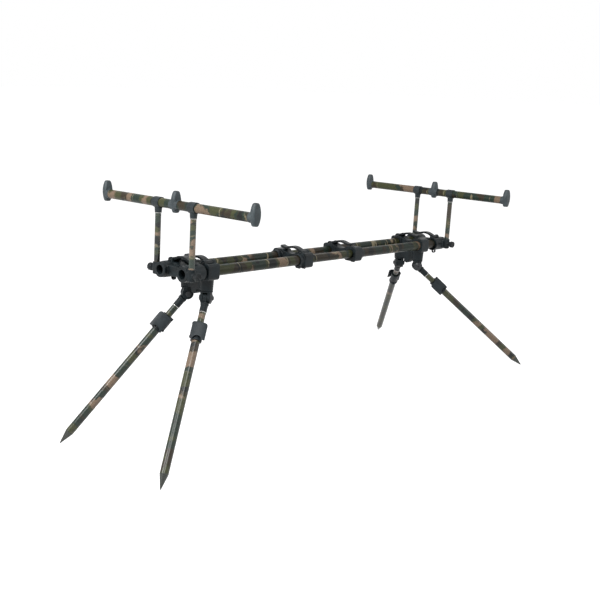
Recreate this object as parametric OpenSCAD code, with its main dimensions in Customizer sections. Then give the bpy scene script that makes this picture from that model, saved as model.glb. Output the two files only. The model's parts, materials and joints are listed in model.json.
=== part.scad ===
// Twin-rail rod pod: telescopic rails, two sliding leg heads with swivelling,
// hinged and telescopic spiked legs, and two buzz bars on uprights that lift out.
// X runs along the rails with the front end at -X, Z is up and the spikes stand on z = 0.
// Each half is drawn pointing along +X about the rail axes; the front half is turned round.

/* [Rails] */
// Distance between the two rail axes
rail_gap = 69; // [66:0.5:76]
// Outer diameter of the outer rail tubes
rail_od = 23; // [21.5:0.5:24.5]
// Wall of the outer rail tubes
rail_wall = 1.4; // [1:0.1:1.8]
// Mean length of the outer rail tubes
rail_len = 350; // [310:1:400]
// Mean distance from the middle of the pod to the start of the outer rails
rail_start = 102; // [92:1:130]
// Distance by which both middle clamps sit towards the front
mid_offset = 12; // [0:1:20]
// Length of each inner rail tube
inner_len = 560; // [480:5:600]
// Wall of the inner rail tubes
inner_wall = 1.5; // [1:0.1:2.5]

/* [Brackets] */
// Wall of the rings round the rails
ring_wall = 6; // [5:0.5:7]
// Length of the rings of a middle clamp
mid_len = 28; // [26:1:34]
// Length of the collar of a middle clamp that grips the outer rail
mid_collar_len = 12; // [10:1:20]
// Depth of the outer rail's seat inside a ring of a middle clamp
mid_seat = 5; // [4:0.5:5.5]
// Wall of the collars of a middle clamp
collar_wall = 3.5; // [3:0.25:4.5]
// Length of the rings of a leg head
head_len = 32; // [30:1:36]
// Length of the rail sockets of an end bracket
end_len = 27; // [26:1:30]
// Lip that stops the rail's plug at the end of a socket
end_lip = 1.5; // [1:0.25:3]
// Thickness of the web between two rings, along the rails
web_t = 24; // [16:1:28]
// Height of the web at its waist
web_waist = 20; // [12:1:22]
// Corner radius of the blocks of the middle clamps and leg heads
block_corner = 7; // [5:0.5:9]
// Length of the noses of an end bracket in front of its uprights
nose_len = 9; // [6:0.5:12]

/* [Cam levers] */
// Width of a lever
lever_w = 15.5; // [12:0.5:16]
// Distance from the pivot to the far foot of the lever's arch
lever_span = 58; // [54:1:62]
// Rise of the arch above the pivot
lever_rise = 11.5; // [10:0.5:14]
// Radius of the sweep that turns the lever's tip up
tip_r_sweep = 30; // [24:1:36]
// Thickness of the lever's arch
lever_t = 5; // [3.5:0.25:5.25]
// Radius of the cam at the pivot
cam_r = 6; // [5:0.25:7]
// Throw of the cam
cam_throw = 0.5; // [0.3:0.1:0.8]
// Radius of the lever's trunnions
trunnion_r = 2.5; // [2:0.25:3]

/* [Leg heads] */
// Distance of the front leg head from the outer ends of the rails
front_head_x = 44; // [42:1:120]
// Distance of the rear leg head from the outer ends of the rails
rear_head_x = 78; // [42:1:120]
// Distance of a leg swivel from the middle plane
swivel_y = 30; // [29:0.5:32]
// Depth of a leg hinge below the rail axes
hinge_drop = 57; // [55:0.5:62]
// Height from a leg hinge to the underside of the leg head
yoke_h = 16; // [15.5:0.5:18]
// Radius of the swivel boss at its foot
boss_r = 14; // [12.5:0.5:14]
// Draft of the swivel boss towards the rails
boss_flare = 1.5; // [0.5:0.25:1.75]
// Radius of the swivel spigot
spigot_r = 6; // [5:0.25:7]
// Length of the swivel spigot
spigot_len = 20; // [14:1:21]

/* [Leg hinges] */
// Radius of the hinge cheeks
cheek_r = 12.5; // [11:0.25:12.75]
// Thickness of each hinge cheek
cheek_t = 6; // [5:0.5:7]
// Thickness of the leg's tongue between the cheeks
tongue_t = 9; // [8:0.5:10]
// Radius of the hinge bolt
bolt_r = 4; // [3:0.25:5]
// Radius of the domed bolt head
dome_r = 11; // [8:0.25:11.5]
// Height of the domed bolt head
dome_h = 4; // [3:0.25:5]

/* [Legs] */
// Distance from a leg's hinge to the tip of its spike
leg_len = 418; // [375:1:520]
// Slope of the front legs below the rails
front_slope = 51; // [40:0.5:60]
// Slope of the rear legs below the rails
rear_slope = 40; // [35:0.5:60]
// Spread of the front legs away from the rail direction
front_spread = 30.5; // [15:0.5:60]
// Spread of the rear legs away from the rail direction
rear_spread = 43.5; // [15:0.5:60]
// Outer diameter of the upper leg tube
upper_od = 14.8; // [13.5:0.1:15.2]
// Wall of the upper leg tube
upper_wall = 1.2; // [0.8:0.1:1.6]
// Room between the upper tube's end and the spike's plug, for pushing a leg in
push_room = 34; // [26:1:60]
// Outer diameter of the lower leg tube
lower_od = 18; // [17.8:0.1:19]
// Length of the spike below the lower tube
spike_len = 31; // [25:1:40]
// Radius of the spike's blunt tip
tip_r = 1.2; // [0.8:0.1:2]
// Length of the ferrule from the hinge to its rim
ferrule_len = 36; // [33:1:38]

/* [Leg clamps] */
// Distance from a leg's hinge to its clamp
clamp_drop = 62; // [61:1:90]
// Outer radius of the clamp sleeve
sleeve_r = 10.8; // [10.4:0.1:11.5]
// Length of the clamp sleeve
sleeve_len = 36; // [35:1:40]
// Length of the lever paddle along the leg
paddle_len = 38; // [34:1:38]
// Reach of the paddle's free edge from the leg axis
paddle_reach = 18; // [16:0.5:24]
// Thickness of the paddle
paddle_t = 3.2; // [2.5:0.1:4]

/* [Buzz bars] */
// Distance of a buzz bar beyond the outer ends of the rails
bar_x = 22; // [20:1:28]
// Height of the buzz bars above the rails
bar_rise = 138; // [110:1:160]
// Distance between the outer knobs of a buzz bar
bar_span = 450; // [360:5:560]
// Outer diameter of a buzz bar
bar_od = 19.5; // [18:0.5:20]
// Wall of a buzz bar
bar_wall = 1.4; // [1:0.1:2]
// Distance between the two uprights of a buzz bar
upright_gap = 108; // [107:0.5:120]
// Outer diameter of the uprights
upright_od = 12.7; // [11:0.1:13.5]
// Wall of the uprights
upright_wall = 1.2; // [0.8:0.1:1.6]
// Outer radius of the upright sleeves on an end bracket
socket_r = 8.4; // [8:0.2:9]
// Depth of a bar knob along the pod, at its widest
knob_d = 21.6; // [21:0.2:25]
// Width of a bar knob along the bar, at its widest
knob_w = 13.4; // [12:0.2:17]
// Height of a bar knob above the bar axis
knob_up = 28; // [26:0.5:32]
// Depth of a bar knob below the bar axis
knob_down = 16; // [14:0.5:20]
// Radius of the tapped hole in a bar knob
thread_r = 4.15; // [3:0.05:4.5]
// Depth of the tapped hole in a bar knob
thread_depth = 15; // [8:0.5:15.5]

/* [Fits] */
// Gap round a sliding or turning face
run_gap = 0.3; // [0.2:0.05:0.4]
// Gap round the inner rails inside the outer rails
rail_clear = 0.2; // [0.15:0.05:0.4]
// Gap round a hinge pin
pin_gap = 0.05; // [0.02:0.01:0.09]
// Gap round a piece that is fixed in its seat
seat_gap = 0.05; // [0.02:0.01:0.1]

/* [Hidden] */
$fn = 48;

// Ends and sides of the pod: left and right as seen by someone behind the rear end
FRONT = 0;
REAR = 1;
LEFT = -1;
RIGHT = 1;
eps = 0.1;
far = 400;

// Rails and rings
rail_r = rail_od / 2;
inner_od = rail_od - 2 * (rail_wall + rail_clear);
inner_r = inner_od / 2;
rail_end = rail_start + rail_len;
rail_from = [rail_start + mid_offset, rail_start - mid_offset];
ring_r = rail_r + ring_wall;
collar_r = rail_r + collar_wall;
plug_flange = 3;
plug_len = 16;
mid_at = [for (from = rail_from) from + mid_seat - mid_len / 2];
end_at = rail_end + plug_flange + run_gap + end_lip - end_len / 2;

// Cam levers: the pivot height puts the closed cam on the tube that it grips
ear_gap = run_gap;
ear_r = cam_r + 0.5;
slot_half = ear_r + ear_gap;
root_len = 5;
root_drop = 3;
cam_reach = run_gap + cam_r + cam_throw;
mid_pivot_z = inner_r + cam_reach;
rail_pivot_z = rail_r + cam_reach;
pivot_y = rail_gap / 2 - 1.5;
arch_r = (pow(lever_span / 2, 2) + pow(lever_rise, 2)) / (2 * lever_rise);
arch_from = asin(lever_span / 2 / arch_r);
arch_upto = 20;
tip_turn = 25;

// Leg heads, in order of the ends
head_at = [rail_end - front_head_x, rail_end - rear_head_x];
slope = [front_slope, rear_slope];
spread = [front_spread, rear_spread];
boss_drop = hinge_drop - yoke_h;
skirt_half = 9;
skirt_t = 18;
skirt_lift = 5;
skirt_drop = hinge_drop - skirt_lift;
flange_t = 3;
flange_r = boss_r;
flange_z = yoke_h - run_gap - flange_t;
tongue_r = cheek_r - 0.7;
bolt_half = tongue_t / 2 + run_gap + cheek_t;
nut_r = 6.5;
nut_t = 4;

// Legs: distances are measured from the hinge towards the tip
collar_at = cheek_r + 1.5;
collar_len = 4;
knuckle_collar_r = upper_od / 2 + 1.7;
ferrule_r = upper_od / 2 + 0.6;
neck_w = 16;
upper_at = collar_at + collar_len + 1;
lower_wall = (lower_od - upper_od) / 2 - run_gap;
lower_ir = lower_od / 2 - lower_wall;
spike_plug = 20;
upper_len = leg_len - spike_len - spike_plug - push_room - upper_at;

// Leg clamps: the sleeve carries the lever's ears, the band closes its foot
sleeve_lip = 4;
lower_at = clamp_drop + sleeve_lip;
lower_len = leg_len - spike_len - lower_at;
band_len = 5;
band_r = sleeve_r + 1.2;
paddle_pivot = [sleeve_r + 1.4, 3.5];
paddle_boss_r = 3.4;
paddle_ear_t = 5;
paddle_curve_r = 52;
paddle_corner_r = 6;
paddle_pin_r = 1.6;
paddle_clear = 0.5;
paddle_at = 1.5;
notch_out = 3;
// Turn of each leg clamp about its leg: front left, front right, rear left, rear right
clamp_turn = [-11, -69, 75, 4];

// Buzz bars and end brackets
bar_at = rail_end + bar_x;
bar_r = bar_od / 2;
upright_r = upright_od / 2;
upright_y = upright_gap / 2;
socket_top = 13;
socket_floor = -11;
socket_dome_r = 15;
socket_low = -14;
beam_h = 20;
nose_step = 1;
bar_socket_r = bar_r + 1.8;
bar_socket_len = 20;
bar_neck_drop = 21;
bar_neck_r = [upright_r + 0.9, upright_r + 2.6];
screw_r = 3;
screw_boss_r = 6.5;
screw_boss_len = 2;
screw_gap = 0.8;
thumb_r = 8.5;
thumb_neck_r = 7;
thumb_neck_len = 3;
thumb_len = 8;
thumb_grips = 10;
thumb_grip_r = 1.6;
dish_r = [4.5, 6];
dish_t = 2;
knob_end_r = 6.2;
knob_end_half = 5.2;
knob_chamfer = 0.8;
knob_collar_r = bar_r + 0.8;
knob_collar_len = 13;
knob_spigot_len = 12;
bar_back = 9;
bar_len = bar_span - 2 * bar_back;

// Lugs under the rings
lug_w = 10;
lug_r = 4;
slit_w = 1.5;
lug_hole_r = 1.75;
eyelet_r = 5.5;
eyelet_hole_r = 2.8;
eyelet_t = 6;

// Stand of the pod: spike tips in the rail frame, then the tilt that puts all four on the floor
function leg_dir(e, s) = [cos(slope[e]) * cos(spread[e]), s * cos(slope[e]) * sin(spread[e]), -sin(slope[e])];
function hinge_at(e, s) = [head_at[e], s * swivel_y, -hinge_drop];
function tip_at(e, s) = hinge_at(e, s) + (leg_len - tip_r) * leg_dir(e, s);
front_tip = tip_at(FRONT, 1);
rear_tip = tip_at(REAR, 1);
tilt = atan2(rear_tip[2] - front_tip[2], rear_tip[0] + front_tip[0]);
function tilted(p) = [p[0] * cos(tilt) + p[2] * sin(tilt), p[1], p[2] * cos(tilt) - p[0] * sin(tilt)];
front_foot = tilted([-front_tip[0], front_tip[1], front_tip[2]]);
rear_foot = tilted(rear_tip);
shift_x = -(front_foot[0] + rear_foot[0]) / 2;
lift_z = tip_r - rear_foot[2];

// Placing
module stand() translate([shift_x, 0, lift_z]) rotate([0, tilt, 0]) children();
module half(e) stand() rotate([0, 0, e == FRONT ? 180 : 0]) children();
module along_x() rotate([0, 90, 0]) children();
module along_y() rotate([-90, 0, 0]) children();
module across_x() rotate([90, 0, 90]) children();
module at_rails() for (s = [-1, 1]) translate([0, s * rail_gap / 2, 0]) children();
module at_swivel(e, s) half(e) translate(hinge_at(e, s)) rotate([0, 0, s * spread[e]]) children();
module at_leg(e, s) at_swivel(e, s) rotate([0, slope[e], 0]) children();
// Side of a half that a named side falls on, because the front half is turned round
function half_side(e, side) = e == FRONT ? -side : side;

module tube(r, wall, len) difference() {
  cylinder(r = r, h = len);
  translate([0, 0, -eps]) cylinder(r = r - wall, h = len + 2 * eps);
}

// Rails
module inner_rails() color("darkolivegreen") stand()
  at_rails() translate([-inner_len / 2, 0, 0]) along_x() tube(inner_r, inner_wall, inner_len);

module inner_rail_plugs() color("black") stand()
  for (e = [0, 180]) rotate([0, 0, e]) at_rails() translate([inner_len / 2, 0, 0]) along_x() {
    cylinder(r = inner_r, h = plug_flange);
    translate([0, 0, -plug_len]) cylinder(r = inner_r - inner_wall - seat_gap, h = plug_len + eps);
  }

module outer_rails(e) color("darkolivegreen") half(e)
  at_rails() translate([rail_from[e], 0, 0]) along_x() tube(rail_r, rail_wall, rail_end - rail_from[e]);

// Plugs that close the outer ends of the outer rails
module rail_plugs(e) color("black") half(e)
  at_rails() translate([rail_end, 0, 0]) along_x() {
    cylinder(r = rail_r, h = plug_flange);
    translate([0, 0, -plug_len]) cylinder(r = rail_r - rail_wall - seat_gap, h = plug_len + eps);
  }

// Brackets: two rings or two rounded blocks round the rails, with a waisted web between them
module web_profile() {
  web_h = 2 * ring_r * 0.8;
  inner = rail_gap / 2 - ring_r;
  sag = (web_h - web_waist) / 2;
  scoop_r = (inner * inner + sag * sag) / (2 * sag);
  difference() {
    square([rail_gap, web_h], center = true);
    for (s = [-1, 1]) translate([0, s * (scoop_r + web_waist / 2)]) circle(r = scoop_r);
  }
}

module web() across_x() linear_extrude(web_t, center = true) web_profile();

module ring_pair(len) {
  at_rails() along_x() cylinder(r = ring_r, h = len, center = true);
  web();
}

module block_profile() {
  flat = 2 * (ring_r - block_corner);
  square([2 * ring_r, flat], center = true);
  square([flat, 2 * ring_r], center = true);
  for (x = [-1, 1], y = [-1, 1]) translate([x, y] * flat / 2) circle(r = block_corner);
}

module block_pair(len) {
  at_rails() across_x() linear_extrude(len, center = true) block_profile();
  web();
}

// Housing of a cam lever, as long as its ring, whose pivot stands at height z over the rail on side s
module lever_housing(s, z, len) translate([0, s * pivot_y, 0]) across_x() linear_extrude(len, center = true) {
  translate([0, z]) circle(r = ear_r);
  translate([-ear_r, 0]) square([2 * ear_r, z]);
}

// Slot for the lever, room for the root of its arch and holes for its trunnions
module lever_cuts(s, z, len) translate([0, s * pivot_y, 0]) {
  slot_w = lever_w + 2 * ear_gap;
  root_at = s > 0 ? -slot_half - root_len : 0;
  translate([0, 0, z]) along_x() cylinder(r = trunnion_r + pin_gap, h = len + eps, center = true);
  translate([-slot_w / 2, -slot_half, 0]) cube([slot_w, 2 * slot_half, far]);
  translate([-slot_w / 2, root_at, z - root_drop]) cube([slot_w, slot_half + root_len, far]);
}

// Rounded pinch lug under a ring of radius r, and the hole of its screw
module pinch_lug(r) translate([0, 0, -r]) along_y() cylinder(r = lug_r, h = lug_w, center = true);
module pinch_hole(r) translate([0, 0, -r - lug_r / 3]) along_y() cylinder(r = lug_hole_r, h = lug_w + eps, center = true);

// Clamp on the ends of the outer rails, whose lever grips an inner rail
module mid_clamp(e) color("dimgray") half(e) difference() {
  seat_at = rail_from[e];
  collar_from = seat_at + mid_seat;
  collar_mid = collar_from + mid_collar_len / 2;
  union() {
    translate([mid_at[e], 0, 0]) {
      block_pair(mid_len);
      lever_housing(1, mid_pivot_z, mid_len);
      at_rails() pinch_lug(ring_r);
    }
    at_rails() translate([collar_from - eps, 0, 0]) along_x() cylinder(r = collar_r, h = mid_collar_len + eps);
    at_rails() translate([collar_mid, 0, 0]) pinch_lug(collar_r);
  }
  at_rails() translate([seat_at, 0, 0]) along_x() cylinder(r = rail_r + seat_gap, h = far);
  at_rails() along_x() cylinder(r = inner_r + run_gap, h = far);
  at_rails() translate([seat_at, -slit_w / 2, -far]) cube([far, slit_w, far]);
  at_rails() translate([collar_mid, 0, 0]) pinch_hole(collar_r);
  translate([mid_at[e], 0, 0]) lever_cuts(1, mid_pivot_z, mid_len);
}

// Bracket that slides on to the rail ends and holds the uprights of a buzz bar
module end_bracket(e) color("dimgray") half(e) difference() {
  bore_end = rail_end + plug_flange + run_gap;
  beam_at = end_at + end_len / 2 - eps;
  union() {
    translate([end_at, 0, 0]) {
      ring_pair(end_len);
      lever_housing(-1, rail_pivot_z, end_len);
    }
    translate([beam_at, 0, 0]) across_x() linear_extrude(bar_at - beam_at) beam_profile();
    at_rails() translate([end_at, 0, 0]) along_x() cylinder(r = ring_r - nose_step, h = bar_at + nose_len - end_at);
    for (s = [-1, 1]) translate([bar_at, s * upright_y, 0]) upright_sleeve(s);
    translate([end_at, -rail_gap / 2, -ring_r - eyelet_hole_r]) along_x()
      cylinder(r = eyelet_r, h = eyelet_t, center = true);
  }
  at_rails() translate([bore_end - far, 0, 0]) along_x() cylinder(r = rail_r + run_gap, h = far);
  at_rails() translate([bore_end - eps, 0, 0]) along_x() cylinder(r = rail_r - end_lip, h = far);
  for (s = [-1, 1]) translate([bar_at, s * upright_y, 0]) {
    translate([0, 0, socket_floor]) cylinder(r = upright_r + run_gap, h = far);
    rotate([0, 0, s > 0 ? 0 : 180]) along_y() cylinder(r = screw_r + pin_gap, h = far);
  }
  translate([end_at, 0, 0]) {
    lever_cuts(-1, rail_pivot_z, end_len);
    translate([0, -rail_gap / 2, -ring_r - eyelet_hole_r]) along_x() cylinder(r = eyelet_hole_r, h = far, center = true);
  }
}

// Cross beam between the sleeves, full round in front of the rails
module beam_profile() {
  square([2 * upright_y, beam_h], center = true);
  for (s = [-1, 1]) translate([s * rail_gap / 2, 0]) circle(r = ring_r);
}

// Round-bottomed sleeve of an upright with the boss of its thumbscrew on side s
module upright_sleeve(s) {
  intersection() {
    translate([0, 0, socket_low]) cylinder(r = socket_r, h = socket_top - socket_low);
    translate([0, 0, socket_low + socket_dome_r]) {
      sphere(r = socket_dome_r);
      cylinder(r = socket_r, h = far);
    }
  }
  rotate([0, 0, s > 0 ? 0 : 180]) along_y() cylinder(r = screw_boss_r, h = socket_r + screw_boss_len);
}

// Thumbscrew that locks an upright in its sleeve
module thumbscrew(e, side) color("black") half(e) translate([bar_at, half_side(e, side) * upright_y, 0])
  rotate([0, 0, half_side(e, side) > 0 ? 0 : 180]) along_y() {
    neck_at = socket_r + screw_boss_len + screw_gap;
    grip_at = neck_at + thumb_neck_len;
    translate([0, 0, upright_r + run_gap]) cylinder(r = screw_r, h = neck_at - upright_r);
    translate([0, 0, neck_at]) cylinder(r = thumb_neck_r, h = thumb_neck_len + eps);
    difference() {
      translate([0, 0, grip_at]) cylinder(r = thumb_r, h = thumb_len);
      for (i = [0 : thumb_grips - 1]) rotate([0, 0, i * 360 / thumb_grips])
        translate([thumb_r + thumb_grip_r / 2, 0, grip_at - eps]) cylinder(r = thumb_grip_r, h = thumb_len + 2 * eps);
      translate([0, 0, grip_at + thumb_len - dish_t]) cylinder(r1 = dish_r[0], r2 = dish_r[1], h = dish_t + eps);
    }
  }

// Sliding head that carries two leg swivels under the rails
module leg_head(e) color("dimgray") half(e) translate([head_at[e], 0, 0]) difference() {
  union() {
    block_pair(head_len);
    lever_housing(1, rail_pivot_z, head_len);
    for (s = [-1, 1]) translate([0, s * swivel_y, -boss_drop])
      cylinder(r1 = boss_r, r2 = boss_r + boss_flare, h = boss_drop - rail_r / 2);
    across_x() linear_extrude(skirt_t, center = true) skirt_profile();
  }
  at_rails() along_x() cylinder(r = rail_r + run_gap, h = far, center = true);
  for (s = [-1, 1]) translate([0, s * swivel_y, -boss_drop - eps])
    cylinder(r = spigot_r + pin_gap, h = spigot_len + run_gap + eps);
  lever_cuts(1, rail_pivot_z, head_len);
}

// Deep web between the bosses with a rounded foot between the hinges
module skirt_profile() {
  translate([-swivel_y, -boss_drop]) square([2 * swivel_y, boss_drop]);
  translate([-skirt_half, skirt_half - skirt_drop]) square([2 * skirt_half, skirt_drop - boss_drop]);
  translate([0, skirt_half - skirt_drop]) circle(r = skirt_half);
}

// Band of thickness t inside radius r, between two angles from the vertical
module arc_band(r, t, from, upto) intersection() {
  difference() {
    circle(r = r, $fn = 180);
    circle(r = r - t, $fn = 180);
  }
  polygon([[0, 0], far * [sin(from), cos(from)], far * [0, 1.5], far * [sin(upto), cos(upto)]]);
}

// Arched cam lever, drawn from the pivot towards +Y, with trunnions that fill a housing of length len
module cam_lever(len) {
  arch_at = [lever_span / 2, lever_rise - arch_r];
  sweep = arch_r + tip_r_sweep;
  across_x() linear_extrude(lever_w, center = true) {
    translate([0, -cam_throw]) circle(r = cam_r);
    translate(arch_at) arc_band(arch_r, lever_t, -arch_from, arch_upto + 0.5);
    translate(arch_at + sweep * [sin(arch_upto), cos(arch_upto)])
      rotate(180) arc_band(tip_r_sweep + lever_t, lever_t, -tip_turn, arch_upto);
  }
  along_x() cylinder(r = trunnion_r, h = len, center = true);
}

// Lever in its bracket: x is the bracket's middle, s the side of its pivot and z the height of its pivot
module bracket_lever(e, x, s, z, len) color("black") half(e)
  translate([x, s * pivot_y, z]) rotate([0, 0, s > 0 ? 180 : 0]) cam_lever(len);
module mid_lever(e) bracket_lever(e, mid_at[e], 1, mid_pivot_z, mid_len);
module head_lever(e) bracket_lever(e, head_at[e], 1, rail_pivot_z, head_len);
module end_lever(e) bracket_lever(e, end_at, -1, rail_pivot_z, end_len);

// Buzz bar
module buzz_bar(e) color("darkolivegreen") half(e)
  translate([bar_at, -bar_len / 2, bar_rise]) along_y() tube(bar_r, bar_wall, bar_len);

module uprights(e) color("darkolivegreen") half(e)
  for (s = [-1, 1]) translate([bar_at, s * upright_y, socket_floor + run_gap])
    tube(upright_r, upright_wall, bar_rise - bar_r - 1 - socket_floor - run_gap);

// Fittings of a buzz bar: the sockets of its uprights and three knobs
module bar_fittings(e) color("slategray") half(e) translate([bar_at, 0, bar_rise]) {
  for (s = [-1, 1]) translate([0, s * upright_y, 0]) bar_socket();
  for (s = [-1, 0, 1]) translate([0, s * bar_span / 2, 0]) bar_knob(s);
}

module bar_socket() difference() {
  union() {
    along_y() cylinder(r = bar_socket_r, h = bar_socket_len, center = true);
    translate([0, 0, -bar_neck_drop]) cylinder(r1 = bar_neck_r[0], r2 = bar_neck_r[1], h = bar_neck_drop);
  }
  along_y() cylinder(r = bar_r + seat_gap, h = far, center = true);
  translate([0, 0, -far]) cylinder(r = upright_r + seat_gap, h = far);
}

// Barrel-shaped knob that takes an alarm or a rod rest: the middle one goes round the bar,
// the outer ones plug into its ends
module bar_knob(s) {
  inward = s > 0 ? 180 : 0;
  difference() {
    union() {
      knob_barrel();
      if (s == 0) along_y() cylinder(r = knob_collar_r, h = 2 * knob_collar_len, center = true);
      else rotate([0, 0, inward]) along_y() cylinder(r = knob_collar_r, h = knob_collar_len);
    }
    if (s == 0) along_y() cylinder(r = bar_r + seat_gap, h = far, center = true);
    else rotate([0, 0, inward]) translate([0, bar_back, 0]) along_y() cylinder(r = bar_r + seat_gap, h = far);
    translate([0, 0, knob_up - thread_depth]) cylinder(r = thread_r, h = far);
  }
  if (s != 0) rotate([0, 0, inward]) translate([0, bar_back - eps, 0]) along_y()
    cylinder(r = bar_r - bar_wall - seat_gap, h = knob_spigot_len + eps);
}

// Radius of an arc that bulges by rise over a chord
function bulge_r(chord, rise) = (pow(chord / 2, 2) + pow(rise, 2)) / (2 * rise);

// Barrel that is rounder along the pod than along the bar
module knob_barrel() {
  tall = knob_up + knob_down;
  middle = (knob_up - knob_down) / 2;
  deep_r = bulge_r(tall, knob_d / 2 - knob_end_r);
  wide_r = bulge_r(tall, knob_w / 2 - knob_end_half);
  translate([0, 0, middle]) intersection() {
    rotate_extrude() intersection() {
      translate([knob_d / 2 - deep_r, 0]) circle(r = deep_r, $fn = 180);
      polygon([[0, -tall / 2], [knob_end_r - knob_chamfer, -tall / 2], [knob_d, knob_d - tall / 2 - knob_end_r + knob_chamfer],
        [knob_d, tall / 2 + knob_end_r - knob_chamfer - knob_d], [knob_end_r - knob_chamfer, tall / 2], [0, tall / 2]]);
    }
    across_x() linear_extrude(2 * knob_d, center = true) intersection_for (k = [-1, 1])
      translate([k * (wide_r - knob_w / 2), 0]) circle(r = wide_r, $fn = 180);
  }
}

// Legs
module leg_swivel(e, side) color("dimgray") at_swivel(e, half_side(e, side)) difference() {
  union() {
    translate([0, 0, flange_z]) cylinder(r = flange_r, h = flange_t);
    translate([0, 0, flange_z]) cylinder(r = spigot_r, h = flange_t + run_gap + spigot_len);
    for (k = [-1, 1]) translate([0, k * (bolt_half - cheek_t / 2), 0]) rotate([90, 0, 0])
      linear_extrude(cheek_t, center = true) {
      circle(r = cheek_r);
      translate([-cheek_r * 0.8, 0]) square([cheek_r * 1.6, flange_z + flange_t / 2]);
    }
  }
  along_y() cylinder(r = bolt_r + pin_gap, h = far, center = true);
}

// Bolt of a leg hinge with its domed head outboard and a nut behind
module hinge_bolt(e, side) color("silver") at_swivel(e, half_side(e, side))
  rotate([0, 0, half_side(e, side) > 0 ? 0 : 180]) along_y() {
  dome_ball = (dome_r * dome_r + dome_h * dome_h) / (2 * dome_h);
  translate([0, 0, -bolt_half]) cylinder(r = bolt_r, h = 2 * bolt_half + eps);
  intersection() {
    translate([0, 0, bolt_half]) cylinder(r = dome_r, h = dome_h);
    translate([0, 0, bolt_half + dome_h - dome_ball]) sphere(r = dome_ball);
  }
  translate([0, 0, -bolt_half - nut_t]) cylinder(r = nut_r, h = nut_t, $fn = 6);
}

module leg_knuckle(e, side) color("dimgray") at_leg(e, half_side(e, side)) difference() {
  union() {
    along_y() cylinder(r = tongue_r, h = tongue_t, center = true);
    translate([0, -tongue_t / 2, -neck_w / 2]) cube([collar_at + eps, tongue_t, neck_w]);
    translate([collar_at, 0, 0]) along_x() cylinder(r = knuckle_collar_r, h = collar_len);
    translate([collar_at, 0, 0]) along_x() cylinder(r = ferrule_r, h = ferrule_len - collar_at);
  }
  along_y() cylinder(r = bolt_r + pin_gap, h = far, center = true);
  translate([upper_at, 0, 0]) along_x() cylinder(r = upper_od / 2 + seat_gap, h = far);
}

module upper_tube(e, side) color("darkolivegreen") at_leg(e, half_side(e, side))
  translate([upper_at, 0, 0]) along_x() tube(upper_od / 2, upper_wall, upper_len);

module lower_tube(e, side) color("darkolivegreen") at_leg(e, half_side(e, side))
  translate([lower_at, 0, 0]) along_x() tube(lower_od / 2, lower_wall, lower_len);

module leg_spike(e, side) color("darkgray") at_leg(e, half_side(e, side)) along_x() {
  foot = leg_len - spike_len;
  translate([0, 0, foot - spike_plug]) cylinder(r = lower_ir - seat_gap, h = spike_plug + eps);
  translate([0, 0, foot]) cylinder(r1 = lower_od / 2, r2 = tip_r, h = spike_len - tip_r);
  translate([0, 0, leg_len - tip_r]) sphere(r = tip_r);
}

// The clamps of the two legs of a head are mirror images
module handed(s) {
  if (s > 0) mirror([0, 1, 0]) children();
  else children();
}

// Frame of a leg clamp: x along the leg from the sleeve's top, turned about the leg
function leg_index(e, side) = 2 * e + (side == LEFT ? 0 : 1);
module at_clamp(e, side) at_leg(e, half_side(e, side))
  translate([clamp_drop, 0, 0]) rotate([clamp_turn[leg_index(e, side)], 0, 0]) handed(half_side(e, side)) children();
module at_paddle_pivot() translate([0, paddle_pivot[0], paddle_pivot[1]]) children();

module leg_clamp(e, side) color("dimgray") at_clamp(e, side) difference() {
  union() {
    along_x() cylinder(r = sleeve_r, h = sleeve_len);
    translate([sleeve_len - eps, 0, 0]) along_x() cylinder(r = band_r, h = band_len + eps);
    for (x = [0, sleeve_len - paddle_ear_t]) translate([x, 0, 0]) across_x() linear_extrude(paddle_ear_t) {
      translate(paddle_pivot) circle(r = paddle_boss_r);
      translate([0, paddle_pivot[1] - paddle_boss_r]) square([paddle_pivot[0], 2 * paddle_boss_r]);
    }
    translate([sleeve_len, -lug_w / 4, -band_r - lug_r / 2]) cube([band_len, lug_w / 2, lug_r]);
  }
  translate([-eps, 0, 0]) along_x() cylinder(r = upper_od / 2 + run_gap, h = far);
  translate([sleeve_lip, 0, 0]) along_x() cylinder(r = lower_od / 2 + seat_gap, h = far);
  at_paddle_pivot() along_x() cylinder(r = paddle_pin_r + pin_gap, h = far, center = true);
  at_paddle_pivot() translate([paddle_ear_t, 0, 0]) along_x() cylinder(r = paddle_boss_r, h = sleeve_len - 2 * paddle_ear_t);
  translate([paddle_ear_t, 0, paddle_pivot[1] - slit_w / 2]) cube([sleeve_len - 2 * paddle_ear_t, far, slit_w]);
}

// Paddle lever: a curved plate over the sleeve that swings about a pin along the leg
module leg_lever(e, side) color("black") at_clamp(e, side) {
  boss_at = paddle_ear_t + run_gap;
  boss_len = sleeve_len - 2 * boss_at;
  under = sleeve_r + paddle_clear;
  at_paddle_pivot() translate([boss_at, 0, 0]) along_x() cylinder(r = paddle_boss_r - cam_throw, h = boss_len);
  at_paddle_pivot() along_x() cylinder(r = paddle_pin_r, h = sleeve_len);
  translate([boss_at, 0, 0]) across_x() linear_extrude(boss_len) intersection() {
    translate([paddle_pivot[0] - paddle_boss_r + cam_throw + 1, paddle_pivot[1]]) square([paddle_t, far]);
    translate([0, under - paddle_curve_r]) circle(r = paddle_curve_r + paddle_t / 2, $fn = 180);
  }
  intersection() {
    across_x() linear_extrude(far) translate([0, under - paddle_curve_r]) difference() {
      circle(r = paddle_curve_r + paddle_t, $fn = 180);
      circle(r = paddle_curve_r, $fn = 180);
    }
    paddle_outline();
  }
}

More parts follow.
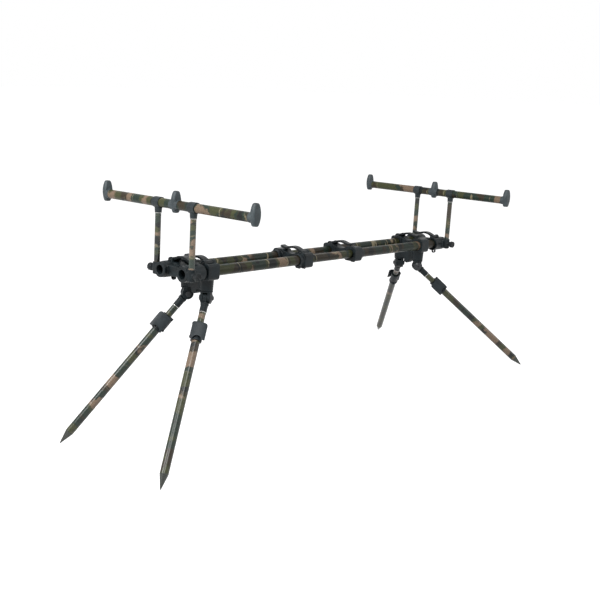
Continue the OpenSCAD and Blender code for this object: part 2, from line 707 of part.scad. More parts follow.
// Outline of the paddle seen from above: rounded at the top corner, hooked at the foot
module paddle_outline() {
  wide = paddle_reach + paddle_pivot[0];
  translate([paddle_at, -paddle_reach, 0]) linear_extrude(far) difference() {
    union() {
      translate([paddle_corner_r, 0]) square([paddle_len - paddle_corner_r, wide]);
      translate([0, paddle_corner_r]) square([paddle_len, wide - paddle_corner_r]);
      translate([paddle_corner_r, paddle_corner_r]) circle(r = paddle_corner_r);
    }
    translate([paddle_len + notch_out, wide / 2 + 1]) circle(r = wide / 3);
  }
}

inner_rails();
inner_rail_plugs();
outer_rails(FRONT);  // front_outer_rails
outer_rails(REAR);  // rear_outer_rails
rail_plugs(FRONT);  // front_rail_plugs
rail_plugs(REAR);  // rear_rail_plugs
mid_clamp(FRONT);  // front_mid_clamp
mid_clamp(REAR);  // rear_mid_clamp
mid_lever(FRONT);  // front_mid_lever
mid_lever(REAR);  // rear_mid_lever
end_bracket(FRONT);  // front_end_bracket
end_bracket(REAR);  // rear_end_bracket
end_lever(FRONT);  // front_end_lever
end_lever(REAR);  // rear_end_lever
leg_head(FRONT);  // front_leg_head
leg_head(REAR);  // rear_leg_head
head_lever(FRONT);  // front_head_lever
head_lever(REAR);  // rear_head_lever
thumbscrew(FRONT, LEFT);  // front_left_thumbscrew
thumbscrew(FRONT, RIGHT);  // front_right_thumbscrew
thumbscrew(REAR, LEFT);  // rear_left_thumbscrew
thumbscrew(REAR, RIGHT);  // rear_right_thumbscrew
buzz_bar(FRONT);  // front_buzz_bar
buzz_bar(REAR);  // rear_buzz_bar
uprights(FRONT);  // front_uprights
uprights(REAR);  // rear_uprights
bar_fittings(FRONT);  // front_bar_fittings
bar_fittings(REAR);  // rear_bar_fittings
leg_swivel(FRONT, LEFT);  // front_left_swivel
leg_swivel(FRONT, RIGHT);  // front_right_swivel
leg_swivel(REAR, LEFT);  // rear_left_swivel
leg_swivel(REAR, RIGHT);  // rear_right_swivel
hinge_bolt(FRONT, LEFT);  // front_left_hinge_bolt
hinge_bolt(FRONT, RIGHT);  // front_right_hinge_bolt
hinge_bolt(REAR, LEFT);  // rear_left_hinge_bolt
hinge_bolt(REAR, RIGHT);  // rear_right_hinge_bolt
leg_knuckle(FRONT, LEFT);  // front_left_knuckle
leg_knuckle(FRONT, RIGHT);  // front_right_knuckle
leg_knuckle(REAR, LEFT);  // rear_left_knuckle
leg_knuckle(REAR, RIGHT);  // rear_right_knuckle
upper_tube(FRONT, LEFT);  // front_left_upper_tube
upper_tube(FRONT, RIGHT);  // front_right_upper_tube
upper_tube(REAR, LEFT);  // rear_left_upper_tube
upper_tube(REAR, RIGHT);  // rear_right_upper_tube
lower_tube(FRONT, LEFT);  // front_left_lower_tube
lower_tube(FRONT, RIGHT);  // front_right_lower_tube
lower_tube(REAR, LEFT);  // rear_left_lower_tube
lower_tube(REAR, RIGHT);  // rear_right_lower_tube
leg_clamp(FRONT, LEFT);  // front_left_leg_clamp
leg_clamp(FRONT, RIGHT);  // front_right_leg_clamp
leg_clamp(REAR, LEFT);  // rear_left_leg_clamp
leg_clamp(REAR, RIGHT);  // rear_right_leg_clamp
leg_lever(FRONT, LEFT);  // front_left_leg_lever
leg_lever(FRONT, RIGHT);  // front_right_leg_lever
leg_lever(REAR, LEFT);  // rear_left_leg_lever
leg_lever(REAR, RIGHT);  // rear_right_leg_lever
leg_spike(FRONT, LEFT);  // front_left_spike
leg_spike(FRONT, RIGHT);  // front_right_spike
leg_spike(REAR, LEFT);  // rear_left_spike
leg_spike(REAR, RIGHT);  // rear_right_spike
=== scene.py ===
import json
import math

import bmesh
import bpy
from mathutils import Matrix, Vector


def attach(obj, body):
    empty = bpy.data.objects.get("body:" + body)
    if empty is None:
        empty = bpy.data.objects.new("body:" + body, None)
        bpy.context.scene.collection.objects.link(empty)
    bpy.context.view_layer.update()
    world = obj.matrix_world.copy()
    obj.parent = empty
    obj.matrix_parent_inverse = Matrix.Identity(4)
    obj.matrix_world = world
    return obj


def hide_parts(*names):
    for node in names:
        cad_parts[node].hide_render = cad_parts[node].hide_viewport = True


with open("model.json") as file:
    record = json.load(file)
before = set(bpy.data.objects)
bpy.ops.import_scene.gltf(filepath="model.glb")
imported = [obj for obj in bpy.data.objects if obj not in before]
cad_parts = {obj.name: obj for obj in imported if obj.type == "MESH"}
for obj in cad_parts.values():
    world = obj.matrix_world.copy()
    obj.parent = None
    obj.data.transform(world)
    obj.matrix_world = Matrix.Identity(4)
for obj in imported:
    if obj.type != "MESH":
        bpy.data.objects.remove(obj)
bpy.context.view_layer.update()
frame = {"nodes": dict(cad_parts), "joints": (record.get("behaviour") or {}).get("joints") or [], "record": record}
record = frame["record"]
joints = {joint["name"]: joint for joint in frame["joints"]}
bodyOf = {node: body for body, members in record["behaviour"]["bodies"].items() for node in members}
slotOf = {part["node"]: part["material_slot"] for part in record["subparts"]}
ends = ("front", "rear")
sideSign = {"left": -1, "right": 1}  # along Y
legs = [f"{end}_{side}" for end in ends for side in sideSign]
upZ = Vector((0, 0, 1))


def jointAxis(name):
    return Vector(joints[name]["axis"]).normalized()


def jointPlace(name):
    return Vector(joints[name]["pos_m"])


railAxis = jointAxis("rear_extension")
uprightAxis = jointAxis("rear_buzz_bar_lift")
barAxis = Vector((0, 1, 0))
legAxis = {leg: jointAxis(leg + "_reach") for leg in legs}
hingeAt = {leg: jointPlace(leg + "_fold") for leg in legs}

# camera, fitted to the outline of the bars, rails and spike tips
viewer = {
    "place": (-1.6965, -1.4409, 0.7782),
    "azimuth": 41.103,  # degrees from +X towards +Y
    "elevation": -13.553,
    "roll": 1.673,
    "lens": 56.245,  # mm
    "sensor": 36,  # mm
    "farthest": 50,
}


def placeCamera(at):
    azimuth = math.radians(at["azimuth"])
    elevation = math.radians(at["elevation"])
    roll = math.radians(at["roll"])
    ahead = Vector((math.cos(elevation) * math.cos(azimuth), math.cos(elevation) * math.sin(azimuth),
                    math.sin(elevation)))
    right = ahead.cross(upZ).normalized()
    above = right.cross(ahead)
    turnedRight = right * math.cos(roll) + above * math.sin(roll)
    turnedAbove = above * math.cos(roll) - right * math.sin(roll)
    data = bpy.data.cameras.new("viewer")
    data.sensor_width = at["sensor"]
    data.lens = at["lens"]
    data.clip_end = at["farthest"]
    camera = bpy.data.objects.new("viewer", data)
    bpy.context.scene.collection.objects.link(camera)
    turn = Matrix((turnedRight, turnedAbove, -ahead)).transposed().to_4x4()
    camera.matrix_world = Matrix.Translation(at["place"]) @ turn
    bpy.context.scene.camera = camera


placeCamera(viewer)
print("camera placed")


# small helpers for shader trees
midLevels = (0.3, 0.7)  # most of a noise lies between these
noiseMiddle = (0.5, 0.5, 0.5)
bumpTall = 0.0002  # metres


def newFinish(name):
    finish = bpy.data.materials.new(name)
    finish.use_nodes = True
    return finish, finish.node_tree, finish.node_tree.nodes["Principled BSDF"]


def plug(tree, value, socket):
    if isinstance(value, bpy.types.NodeSocket):
        tree.links.new(value, socket)
    else:
        socket.default_value = value


def noiseNode(tree, vector, scale, detail=2.0, rough=0.5):
    node = tree.nodes.new("ShaderNodeTexNoise")
    plug(tree, vector, node.inputs["Vector"])
    node.inputs["Scale"].default_value = scale
    node.inputs["Detail"].default_value = detail
    node.inputs["Roughness"].default_value = rough
    return node


def mathNode(tree, operation, first, second=0.0):
    node = tree.nodes.new("ShaderNodeMath")
    node.operation = operation
    plug(tree, first, node.inputs[0])
    plug(tree, second, node.inputs[1])
    return node.outputs[0]


def vectorMath(tree, operation, first, second):
    node = tree.nodes.new("ShaderNodeVectorMath")
    node.operation = operation
    plug(tree, first, node.inputs[0])
    plug(tree, second, node.inputs[1])
    return node.outputs[0]


def rangeNode(tree, value, low, high, newLow=0.0, newHigh=1.0):
    node = tree.nodes.new("ShaderNodeMapRange")
    node.interpolation_type = "SMOOTHSTEP"
    for socket, amount in zip(node.inputs, (value, low, high, newLow, newHigh)):
        plug(tree, amount, socket)
    return node.outputs[0]


def mixColour(tree, factor, first, second, blend="MIX"):
    node = tree.nodes.new("ShaderNodeMix")
    node.data_type = "RGBA"
    node.blend_type = blend
    plug(tree, factor, node.inputs[0])
    plug(tree, first, node.inputs[6])  # 6 and 7 take the colours, 2 gives one
    plug(tree, second, node.inputs[7])
    return node.outputs[2]


def rgb(red, green, blue):
    return (red, green, blue, 1.0)


def grey(level):
    return (level, level, level, 1.0)


def bumpNode(tree, height, strength):
    node = tree.nodes.new("ShaderNodeBump")
    node.inputs["Strength"].default_value = strength
    node.inputs["Distance"].default_value = bumpTall
    plug(tree, height, node.inputs["Height"])
    return node.outputs[0]


def objectPlace(tree):
    return tree.nodes.new("ShaderNodeTexCoord").outputs["Object"]


# camouflage film printed round a tube: broad bands that cross the tube, ragged at the edges
# each layer has its place in the noise, the noise's scale and the levels where it begins and is full
camo = {
    "moss": rgb(0.052, 0.057, 0.024),  # the ground
    "pine": {"colour": rgb(0.018, 0.031, 0.022), "shift": 0.0, "scale": 24, "levels": (0.47, 0.51)},
    "bark": {"colour": rgb(0.034, 0.026, 0.015), "shift": 1.7, "scale": 27, "levels": (0.56, 0.60)},
    "shade": {"colour": rgb(0.007, 0.009, 0.008), "shift": 3.1, "scale": 33, "levels": (0.58, 0.62)},
    "clay": {"colour": rgb(0.190, 0.135, 0.092), "shift": 5.3, "scale": 26},
    "straw": {"colour": rgb(0.220, 0.190, 0.120), "shift": 1.7, "scale": 20, "at": 0.53},  # thin lines
    "breaks": {"shift": 7.9, "scale": 45, "levels": (0.46, 0.54)},  # cut the lines short
    "layerDetail": 1,
    "startShare": (0.37, 0.11, 1),
    "shiftShare": (1, 0.7, 1.3),
    "acrossStretch": 0.40,  # under 1 makes the blotches wrap round the tube
    "lineStretch": 0.12,  # the same for the pale lines
    "ragged": 0.010,  # metres
    "lineRagged": 0.003,
    "edgeNoise": (130, 3, 0.6),  # scale, detail, roughness
    "grainNoise": (420, 4, 0.65),
    "grainLevels": (0.25, 0.75),
    "grainTone": (0.72, 1.28),
    "smearNoise": (70, 3),
    "peelNoise": (900, 2),
    "peelDepth": 0.12,
}


def camoFilm(name, axis, film):
    finish, tree, shader = newFinish(name)
    lay = tree.nodes.new("ShaderNodeMapping")
    lay.inputs["Rotation"].default_value = axis.rotation_difference(upZ).to_euler()
    lay.inputs["Location"].default_value = [film["start"] * share for share in camo["startShare"]]
    plug(tree, objectPlace(tree), lay.inputs["Vector"])
    place = lay.outputs[0]
    edge = noiseNode(tree, place, *camo["edgeNoise"]).outputs["Color"]
    edge = vectorMath(tree, "SUBTRACT", edge, noiseMiddle)

    def wrapped(across, ragged):
        stretched = vectorMath(tree, "MULTIPLY", place, (across, across, 1))
        return vectorMath(tree, "ADD", stretched, vectorMath(tree, "MULTIPLY", edge, (ragged,) * 3))

    blotchPlace = wrapped(camo["acrossStretch"], camo["ragged"])
    linePlace = wrapped(camo["lineStretch"], camo["lineRagged"])

    def level(where, layer):
        moved = vectorMath(tree, "ADD", where, [layer["shift"] * share for share in camo["shiftShare"]])
        return noiseNode(tree, moved, layer["scale"], camo["layerDetail"]).outputs["Fac"]

    def blotch(layer, levels):
        return rangeNode(tree, level(blotchPlace, layer), *levels)

    def paler(colour):
        return rgb(*(channel * film["pale"] for channel in colour[:3]))

    colour = camo["moss"]
    for layer in (camo["pine"], camo["bark"], camo["shade"]):
        colour = mixColour(tree, blotch(layer, layer["levels"]), colour, layer["colour"])
    clay, straw, breaks = camo["clay"], camo["straw"], camo["breaks"]
    colour = mixColour(tree, blotch(clay, film["clay"]), colour, paler(clay["colour"]))
    away = mathNode(tree, "ABSOLUTE", mathNode(tree, "SUBTRACT", level(linePlace, straw), straw["at"]))
    line = rangeNode(tree, away, *film["line"], 1.0, 0.0)
    line = mathNode(tree, "MULTIPLY", line, blotch(breaks, breaks["levels"]))
    line = mathNode(tree, "MULTIPLY", line, film["lineDepth"])
    colour = mixColour(tree, line, colour, paler(straw["colour"]))
    grain = noiseNode(tree, place, *camo["grainNoise"]).outputs["Fac"]
    deep, light = (share * film["lift"] for share in camo["grainTone"])
    tone = rangeNode(tree, grain, *camo["grainLevels"], deep, light)
    colour = mixColour(tree, 1.0, colour, tone, "MULTIPLY")
    plug(tree, colour, shader.inputs["Base Color"])
    smear = noiseNode(tree, place, *camo["smearNoise"]).outputs["Fac"]
    plug(tree, rangeNode(tree, smear, *midLevels, *film["roughness"]), shader.inputs["Roughness"])
    peel = noiseNode(tree, place, *camo["peelNoise"]).outputs["Fac"]
    plug(tree, bumpNode(tree, peel, camo["peelDepth"]), shader.inputs["Normal"])
    shader.inputs["Specular IOR Level"].default_value = film["shine"]
    return finish


# dark coat of castings and moulded pieces, paler where edges rub
coatNoise = {
    "cloud": (55, 4, 0.6),  # scale, detail, roughness
    "scuff": (320, 3, 0.7),
    "scuffLevels": (0.35, 0.6),
    "grain": (2, 0.6),  # detail, roughness
}


def rubbedCoat(name, coat):
    finish, tree, shader = newFinish(name)
    place = objectPlace(tree)
    cloud = noiseNode(tree, place, *coatNoise["cloud"]).outputs["Fac"]
    colour = mixColour(tree, rangeNode(tree, cloud, *midLevels), coat["dark"], coat["base"])
    scuff = noiseNode(tree, place, *coatNoise["scuff"]).outputs["Fac"]
    edge = tree.nodes.new("ShaderNodeNewGeometry").outputs["Pointiness"]
    worn = rangeNode(tree, edge, *coat["rubFrom"])
    rub = mathNode(tree, "MULTIPLY", worn, rangeNode(tree, scuff, *coatNoise["scuffLevels"]))
    colour = mixColour(tree, mathNode(tree, "MULTIPLY", rub, coat["rubAmount"]), colour, coat["rubbed"])
    plug(tree, colour, shader.inputs["Base Color"])
    plug(tree, rangeNode(tree, cloud, *midLevels, *coat["roughness"]), shader.inputs["Roughness"])
    grain = noiseNode(tree, place, coat["grainScale"], *coatNoise["grain"]).outputs["Fac"]
    plug(tree, bumpNode(tree, grain, coat["grainDepth"]), shader.inputs["Normal"])
    shader.inputs["Specular IOR Level"].default_value = coat["shine"]
    return finish


coats = {
    "slate_casting": {
        "dark": rgb(0.004, 0.006, 0.007), "base": rgb(0.010, 0.016, 0.019), "rubbed": rgb(0.08, 0.09, 0.10),
        "rubFrom": (0.52, 0.60), "rubAmount": 0.6, "roughness": (0.36, 0.54), "shine": 0.2,
        "grainScale": 1500, "grainDepth": 0.35,
    },
    "black_lever": {
        "dark": rgb(0.005, 0.007, 0.008), "base": rgb(0.009, 0.013, 0.015), "rubbed": rgb(0.05, 0.055, 0.06),
        "rubFrom": (0.53, 0.62), "rubAmount": 0.6, "roughness": (0.30, 0.44), "shine": 0.22,
        "grainScale": 1900, "grainDepth": 0.22,
    },
    "slate_fitting": {
        "dark": rgb(0.032, 0.042, 0.047), "base": rgb(0.060, 0.076, 0.083), "rubbed": rgb(0.15, 0.16, 0.175),
        "rubFrom": (0.52, 0.60), "rubAmount": 0.6, "roughness": (0.40, 0.54), "shine": 0.3,
        "grainScale": 1700, "grainDepth": 0.30,
    },
    "slate_paddle": {
        "dark": rgb(0.012, 0.017, 0.020), "base": rgb(0.022, 0.030, 0.034), "rubbed": rgb(0.10, 0.11, 0.12),
        "rubFrom": (0.52, 0.60), "rubAmount": 0.6, "roughness": (0.36, 0.50), "shine": 0.25,
        "grainScale": 1500, "grainDepth": 0.30,
    },
    "black_plug": {
        "dark": rgb(0.006, 0.006, 0.007), "base": rgb(0.010, 0.010, 0.011), "rubbed": rgb(0.04, 0.04, 0.042),
        "rubFrom": (0.54, 0.62), "rubAmount": 0.4, "roughness": (0.5, 0.65), "shine": 0.25,
        "grainScale": 1400, "grainDepth": 0.3,
    },
    "dark_bolt": {
        "dark": rgb(0.014, 0.016, 0.018), "base": rgb(0.022, 0.025, 0.028), "rubbed": rgb(0.18, 0.18, 0.18),
        "rubFrom": (0.53, 0.60), "rubAmount": 0.6, "roughness": (0.28, 0.40), "shine": 0.4,
        "grainScale": 1200, "grainDepth": 0.12,
    },
}


# turned metal: fine rings about the axis
latheMarks = {"stretch": (6, 6, 700), "noise": (3, 2), "depth": 0.15}


def turnedMetal(name, axis, origin, turned):
    finish, tree, shader = newFinish(name)
    lay = tree.nodes.new("ShaderNodeMapping")
    spin = axis.rotation_difference(upZ)
    lay.inputs["Rotation"].default_value = spin.to_euler()
    lay.inputs["Location"].default_value = -(spin @ origin)
    plug(tree, objectPlace(tree), lay.inputs["Vector"])
    stretched = vectorMath(tree, "MULTIPLY", lay.outputs[0], latheMarks["stretch"])
    rings = noiseNode(tree, stretched, *latheMarks["noise"]).outputs["Fac"]
    colour = mixColour(tree, rangeNode(tree, rings, *midLevels), turned["dark"], turned["base"])
    plug(tree, colour, shader.inputs["Base Color"])
    plug(tree, rangeNode(tree, rings, *midLevels, *turned["roughness"]), shader.inputs["Roughness"])
    plug(tree, bumpNode(tree, rings, latheMarks["depth"]), shader.inputs["Normal"])
    shader.inputs["Metallic"].default_value = turned["metallic"]
    return finish


spikeTurning = {
    "dark": rgb(0.034, 0.037, 0.033), "base": rgb(0.070, 0.075, 0.067),
    "roughness": (0.20, 0.30), "metallic": 0.5,
}
ringTurning = {
    "dark": rgb(0.38, 0.38, 0.36), "base": rgb(0.52, 0.52, 0.50),
    "roughness": (0.24, 0.36), "metallic": 0.9,
}
steelTurning = {
    "dark": rgb(0.030, 0.031, 0.033), "base": rgb(0.060, 0.061, 0.064),
    "roughness": (0.28, 0.40), "metallic": 0.8,
}

finishes = {name: rubbedCoat(name, coat) for name, coat in coats.items()}
# lift scales how bright each tube's print comes out, raised on the uprights as painted sheen, and pale that of its
# light marks;
# clay and line are the noise levels where the tan blotches and the thin pale lines begin and are full
films = {
    "rails": {
        "start": 0.13, "lift": 0.64, "pale": 1.45, "line": (0.006, 0.018), "clay": (0.61, 0.65),
        "roughness": (0.28, 0.40), "shine": 0.13, "lineDepth": 1.0,
    },
    "bars": {
        "start": 0.82, "lift": 0.95, "pale": 1.0, "line": (0.004, 0.012), "clay": (0.61, 0.65),
        "roughness": (0.30, 0.42), "shine": 0.18, "lineDepth": 1.0,
    },
    # the uprights' print is lifted paler than the other tubes' print; part of this is real print and part is
    # painted sheen for the glossy streak down them
    "uprights": {
        "start": 0.29, "lift": 1.1, "pale": 1.0, "line": (0.002, 0.008), "clay": (0.56, 0.60),
        "roughness": (0.16, 0.26), "shine": 0.6, "lineDepth": 0.6,
    },
    "legs": {
        "start": 1.37, "lift": 0.85, "pale": 1.1, "line": (0.002, 0.007), "clay": (0.565, 0.605),
        "roughness": (0.20, 0.29), "shine": 0.36, "lineDepth": 0.25,
    },
}
legStep = 0.83  # shift of the print from one leg to the next
camoOf = {
    "rails": camoFilm("camo_rails", railAxis, films["rails"]),
    "bars": camoFilm("camo_bars", barAxis, films["bars"]),
    "uprights": camoFilm("camo_uprights_painted_sheen", uprightAxis, films["uprights"]),
}
for count, leg in enumerate(legs):
    film = dict(films["legs"], start=films["legs"]["start"] + legStep * count)
    camoOf[leg] = camoFilm("camo_" + leg, legAxis[leg], film)
print("finishes made:", len(finishes) + len(camoOf))


def dressNode(node, finish):
    piece = frame["nodes"][node]
    if not piece.material_slots:
        piece.data.materials.append(finish)
    for slot in piece.material_slots:
        slot.material = finish


# tubes, plugs and spikes keep their solids
dressNode("inner_rails", camoOf["rails"])
dressNode("inner_rail_plugs", finishes["black_plug"])
for end in ends:
    dressNode(end + "_outer_rails", camoOf["rails"])
    dressNode(end + "_buzz_bar", camoOf["bars"])
    dressNode(end + "_uprights", camoOf["uprights"])
    dressNode(end + "_rail_plugs", finishes["black_plug"])
for leg in legs:
    dressNode(leg + "_upper_tube", camoOf[leg])
    dressNode(leg + "_lower_tube", camoOf[leg])
    dressNode(leg + "_spike", turnedMetal("spike_" + leg, legAxis[leg], hingeAt[leg], spikeTurning))
print("tubes and spikes dressed")


# castings and moulded pieces: the solid with every edge rounded over
softForm = {
    "_mid_clamp": {"voxel": 0.0006, "smooth": 9},
    "_end_bracket": {"voxel": 0.0006, "smooth": 9},
    "_leg_head": {"voxel": 0.0007, "smooth": 9},
    "_mid_lever": {"voxel": 0.00045, "smooth": 8},
    "_end_lever": {"voxel": 0.00045, "smooth": 8},
    "_head_lever": {"voxel": 0.00045, "smooth": 8},
    "_leg_lever": {"voxel": 0.00045, "smooth": 8, "coat": "slate_paddle"},
    "_leg_clamp": {"voxel": 0.00045, "smooth": 7},
    "_swivel": {"voxel": 0.0005, "smooth": 8},
    "_knuckle": {"voxel": 0.0005, "smooth": 8},
    "_thumbscrew": {"voxel": 0.0004, "smooth": 6},
    "_bar_fittings": {"voxel": 0.0005, "smooth": 8},
    "_hinge_bolt": {"voxel": 0.0004, "smooth": 5},
}
softening = {"weld": 1e-6, "pull": 0.5, "keepFaces": 0.3}


def roundedPiece(node, form, finish):
    piece = bpy.data.objects.new(node + "_rounded", frame["nodes"][node].data.copy())
    bpy.context.scene.collection.objects.link(piece)
    welded = bmesh.new()
    welded.from_mesh(piece.data)
    bmesh.ops.remove_doubles(welded, verts=welded.verts, dist=softening["weld"])
    welded.to_mesh(piece.data)
    welded.free()
    skin = piece.modifiers.new("skin", "REMESH")
    skin.mode = "VOXEL"
    skin.voxel_size = form["voxel"]
    ease = piece.modifiers.new("ease", "SMOOTH")
    ease.factor = softening["pull"]
    ease.iterations = form["smooth"]
    thin = piece.modifiers.new("thin", "DECIMATE")
    thin.ratio = softening["keepFaces"]
    shape = bpy.data.meshes.new_from_object(piece.evaluated_get(bpy.context.evaluated_depsgraph_get()))
    piece.modifiers.clear()
    piece.data = shape
    shape.materials.clear()
    shape.materials.append(finish)
    shape.shade_smooth()
    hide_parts(node)
    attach(piece, bodyOf[node])
    return piece


# the uprights' sockets on a bar are darker than its knobs
uprightOff = 0.054  # from the middle of the bar
socketHalf = 0.02  # half the stretch of bar that a socket covers


def darkSockets(fittings):
    fittings.data.materials.append(finishes["slate_paddle"])
    for face in fittings.data.polygons:
        if abs(abs(face.center.y) - uprightOff) < socketHalf:
            face.material_index = 1  # the darker coat


for node in sorted(frame["nodes"]):
    for ending, form in softForm.items():
        if node.endswith(ending):
            piece = roundedPiece(node, form, finishes[form.get("coat", slotOf[node])])
            if ending == "_bar_fittings":
                darkSockets(piece)
print("castings, levers and fittings rounded")


# rings, pins and threads turned on a lathe: outline points are (radius, along) in metres
lathe = {"weld": 1e-7, "sharpFrom": 40}  # metres, degrees


def turnedPiece(name, outline, place, axis, finish, body, steps=48):
    shape = bmesh.new()
    spin = upZ.rotation_difference(axis).to_matrix()
    loops = []
    for step in range(steps):
        angle = 2 * math.pi * step / steps
        out = Vector((math.cos(angle), math.sin(angle), 0))
        ring = [place + spin @ (out * radius + upZ * along) for radius, along in outline]
        loops.append([shape.verts.new(corner) for corner in ring])
    count = len(outline)
    for step in range(steps):
        here, there = loops[step], loops[(step + 1) % steps]
        for k in range(count):
            shape.faces.new((here[k], there[k], there[(k + 1) % count], here[(k + 1) % count]))
    bmesh.ops.remove_doubles(shape, verts=shape.verts, dist=lathe["weld"])
    bmesh.ops.recalc_face_normals(shape, faces=shape.faces)
    mesh = bpy.data.meshes.new(name)
    shape.to_mesh(mesh)
    shape.free()
    mesh.materials.append(finish)
    mesh.shade_smooth()
    mesh.set_sharp_from_angle(angle=math.radians(lathe["sharpFrom"]))
    piece = bpy.data.objects.new(name, mesh)
    bpy.context.scene.collection.objects.link(piece)
    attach(piece, body)
    return piece


# bare rim rings where an upright meets its socket and where a leg leaves its ferrule
uprightRing = {"inner": 0.0063, "outer": 0.00745, "long": 0.0014, "fromMount": 0.0497}
ferruleRing = {"inner": 0.0073, "outer": 0.0082, "long": 0.0012, "fromHinge": 0.0366}
rimChamfer = 0.35  # share of half the ring's length


def rimOutline(ring):
    half = ring["long"] / 2
    chamfer = half * rimChamfer
    return [(ring["inner"], -half), (ring["outer"] - chamfer, -half), (ring["outer"], -half + chamfer),
            (ring["outer"], half - chamfer), (ring["outer"] - chamfer, half), (ring["inner"], half)]


mounts = {mount["name"]: mount for mount in record["mounts"]}
for end in ends:
    middle = Vector(mounts[end + "_middle_alarm_thread"]["pos_m"])
    for side, across in sideSign.items():
        place = middle - uprightAxis * uprightRing["fromMount"] + barAxis * (across * uprightOff)
        name = f"{end}_{side}_upright_ring"
        bright = turnedMetal(name, uprightAxis, place, ringTurning)
        turnedPiece(name, rimOutline(uprightRing), place, uprightAxis, bright, end + "_buzz")
for leg in legs:
    place = hingeAt[leg] + legAxis[leg] * ferruleRing["fromHinge"]
    name = leg + "_ferrule_ring"
    bright = turnedMetal(name, legAxis[leg], place, ringTurning)
    turnedPiece(name, rimOutline(ferruleRing), place, legAxis[leg], bright, leg + "_leg")
print("bare rings turned")

# steel heads on the ends of each lever's pin
pinHead = {"radius": 0.0021, "tall": 0.0005, "sunk": 0.0012, "steps": 24}
pinCrown = ((1, 0), (0.85, 0.6), (0.5, 1), (0, 1.1))  # shares of the radius and of the height


def headOutline(head, crown):
    radius, tall, sunk = head["radius"], head["tall"], head["sunk"]
    return [(0, -sunk), (radius, -sunk)] + [(radius * wide, tall * high) for wide, high in crown]


for end in ends:
    for kind in ("mid", "end", "head"):
        lever = f"{end}_{kind}_lever"
        axis = jointAxis(lever + "_pivot")
        pivot = jointPlace(lever + "_pivot")
        reach = [(corner.co - pivot).dot(axis) for corner in frame["nodes"][lever].data.vertices]
        for word, long, out in (("a", max(reach), axis), ("b", -min(reach), -axis)):
            name = f"{lever}_pin_{word}"
            place = pivot + out * long
            steel = turnedMetal(name, out, place, steelTurning)
            outline = headOutline(pinHead, pinCrown)
            turnedPiece(name, outline, place, out, steel, lever, pinHead["steps"])
print("pin heads set")

# threaded inserts in the knobs, where the alarms screw in
insert = {
    "flange": 0.0050, "proud": 0.0004, "root": 0.00410, "crest": 0.00375, "pitch": 0.00127, "turns": 9,
    "skin": 0.00003,  # between the thread and the way back up
}


def insertOutline(look):
    rim = look["proud"]
    wide = look["flange"]
    outline = [(wide, -rim), (wide, rim * 0.5), (wide - rim, rim), (look["root"], rim)]
    for turn in range(look["turns"]):
        outline.append((look["crest"], -look["pitch"] * (turn + 0.5)))
        outline.append((look["root"], -look["pitch"] * (turn + 1)))
    outline.append((look["root"] + look["skin"], -rim))
    return outline


for name, mount in mounts.items():
    place = Vector(mount["pos_m"])
    axis = Vector(mount["axis"])
    body = name.split("_")[0] + "_buzz"
    steel = turnedMetal(name, axis, place, steelTurning)
    turnedPiece(name + "_insert", insertOutline(insert), place, axis, steel, body)
print("thread inserts set")

# button screws with a hexagon socket, in the domes of the leg hinges and in the lugs of the middle clamps; the
# socket is not cut: a black hexagon patch, a little proud of the head, is painted shade for its recess
hingeScrew = {"radius": 0.0046, "tall": 0.0014, "socket": 0.0024, "sunk": 0.002}
pinchScrew = {"radius": 0.0028, "tall": 0.0024, "socket": 0.0014, "sunk": 0.001}
screwSteps = 32
screwCrown = ((1, 0.35), (0.92, 0.7), (0.75, 1), (0, 1))  # shares of the radius and of the height
# size of the black hexagon patch, painted shade standing for the inside of each screw's socket
socketShadePatch = {"deep": 0.0004, "proud": 0.00005, "corners": 6}
pinchFrom = {"outward": 0.020, "down": 0.033, "railHalf": 0.0345, "lugHalf": 0.005}  # from the lever's pivot


def buttonScrew(name, screw, place, axis, body):
    steel = turnedMetal(name, axis, place, steelTurning)
    outline = headOutline(screw, screwCrown)
    turnedPiece(name, outline, place, axis, steel, body, screwSteps)
    # painted shade: a black hexagon from just under the head's top to just above it stands for the shaded inside
    # of the socket
    low, high = screw["tall"] - socketShadePatch["deep"], screw["tall"] + socketShadePatch["proud"]
    socket = [(0, low), (screw["socket"], low), (screw["socket"], high), (0, high)]
    black, corners = finishes["black_plug"], socketShadePatch["corners"]
    turnedPiece(name + "_socket_shade", socket, place, axis, black, body, corners)


for leg in legs:
    bolt = frame["nodes"][leg + "_hinge_bolt"]
    axis = jointAxis(leg + "_fold")
    outward = axis if (axis.y > 0) == leg.endswith("right") else -axis
    reach = max((corner.co - hingeAt[leg]).dot(outward) for corner in bolt.data.vertices)
    buttonScrew(leg + "_hinge_screw", hingeScrew, hingeAt[leg] + outward * reach, outward, leg + "_swivel")
for end in ends:
    outward = jointAxis(end + "_extension")
    pivot = jointPlace(end + "_mid_lever_pivot")
    lug = pivot + outward * pinchFrom["outward"] - uprightAxis * pinchFrom["down"]
    for side, across in sideSign.items():
        place = Vector((lug.x, across * (pinchFrom["railHalf"] + pinchFrom["lugHalf"]), lug.z))
        buttonScrew(f"{end}_{side}_pinch_screw", pinchScrew, place, barAxis * across, end + "_half")
print("screws set")

# floor, light and background
stageLook = {
    "floorSize": 60.0,
    "floorColour": grey(0.5),
    "floorRoughness": 0.9,
    "whiteLift": 0.88,  # the floor's own white, for what sees it
    "skyLevel": 0.26,
    "aim": Vector((0, 0, 0.3)),  # where the lamps point
}


def onlySeen(tree):
    path = tree.nodes.new("ShaderNodeLightPath")
    seen = mathNode(tree, "MAXIMUM", path.outputs["Is Camera Ray"], path.outputs["Is Glossy Ray"])
    return mathNode(tree, "MAXIMUM", seen, path.outputs["Is Transmission Ray"])


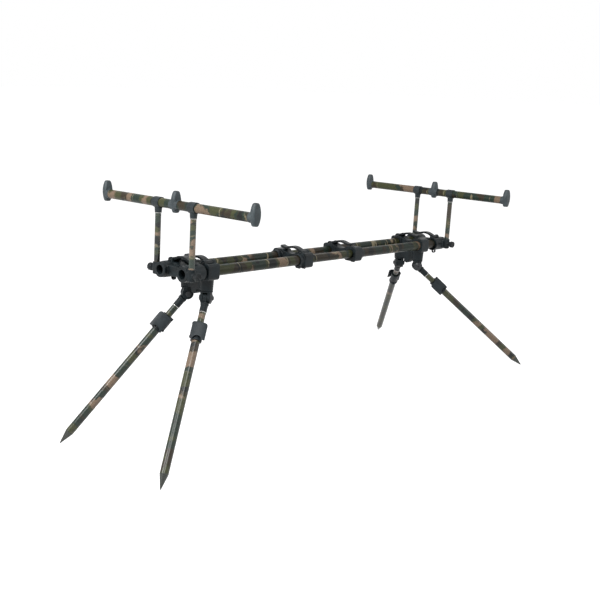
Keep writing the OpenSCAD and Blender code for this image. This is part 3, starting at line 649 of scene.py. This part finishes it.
def makeFloor():
    bpy.ops.mesh.primitive_plane_add(size=stageLook["floorSize"], location=(0, 0, 0))
    floor = bpy.context.object
    floor.name = "floor"
    finish, tree, shader = newFinish("floor")
    shader.inputs["Base Color"].default_value = stageLook["floorColour"]
    shader.inputs["Roughness"].default_value = stageLook["floorRoughness"]
    white = tree.nodes.new("ShaderNodeEmission")
    white.inputs["Color"].default_value = grey(1.0)
    plug(tree, mathNode(tree, "MULTIPLY", onlySeen(tree), stageLook["whiteLift"]), white.inputs["Strength"])
    both = tree.nodes.new("ShaderNodeAddShader")
    tree.links.new(shader.outputs[0], both.inputs[0])
    tree.links.new(white.outputs[0], both.inputs[1])
    tree.links.new(both.outputs[0], tree.nodes["Material Output"].inputs["Surface"])
    floor.data.materials.append(finish)


def makeSky():
    world = bpy.data.worlds.new("studio")
    world.use_nodes = True
    tree = world.node_tree
    soft = tree.nodes["Background"]
    soft.inputs["Color"].default_value = grey(1.0)
    soft.inputs["Strength"].default_value = stageLook["skyLevel"]
    white = tree.nodes.new("ShaderNodeBackground")
    white.inputs["Color"].default_value = grey(1.0)
    white.inputs["Strength"].default_value = 1.0
    share = tree.nodes.new("ShaderNodeMixShader")
    plug(tree, onlySeen(tree), share.inputs[0])
    tree.links.new(soft.outputs[0], share.inputs[1])
    tree.links.new(white.outputs[0], share.inputs[2])
    tree.links.new(share.outputs[0], tree.nodes["World Output"].inputs["Surface"])
    bpy.context.scene.world = world


lamps = {
    "key": {"place": (-1.6, -1.3, 2.6), "size": 1.4, "power": 48},
    "side": {"place": (-2.4, 0.4, 1.7), "size": 1.1, "power": 48},
    "fill": {"place": (1.6, -1.8, 1.6), "size": 1.8, "power": 14},
}


def makeLamp(name, look):
    data = bpy.data.lights.new(name, "AREA")
    data.energy = look["power"]
    data.size = look["size"]
    lamp = bpy.data.objects.new(name, data)
    bpy.context.scene.collection.objects.link(lamp)
    lamp.location = look["place"]
    aim = stageLook["aim"] - lamp.location
    lamp.rotation_euler = aim.to_track_quat("-Z", "Y").to_euler()


makeFloor()
makeSky()
for name, look in lamps.items():
    makeLamp(name, look)
bpy.context.scene.view_settings.view_transform = "Standard"
print("stage lit")
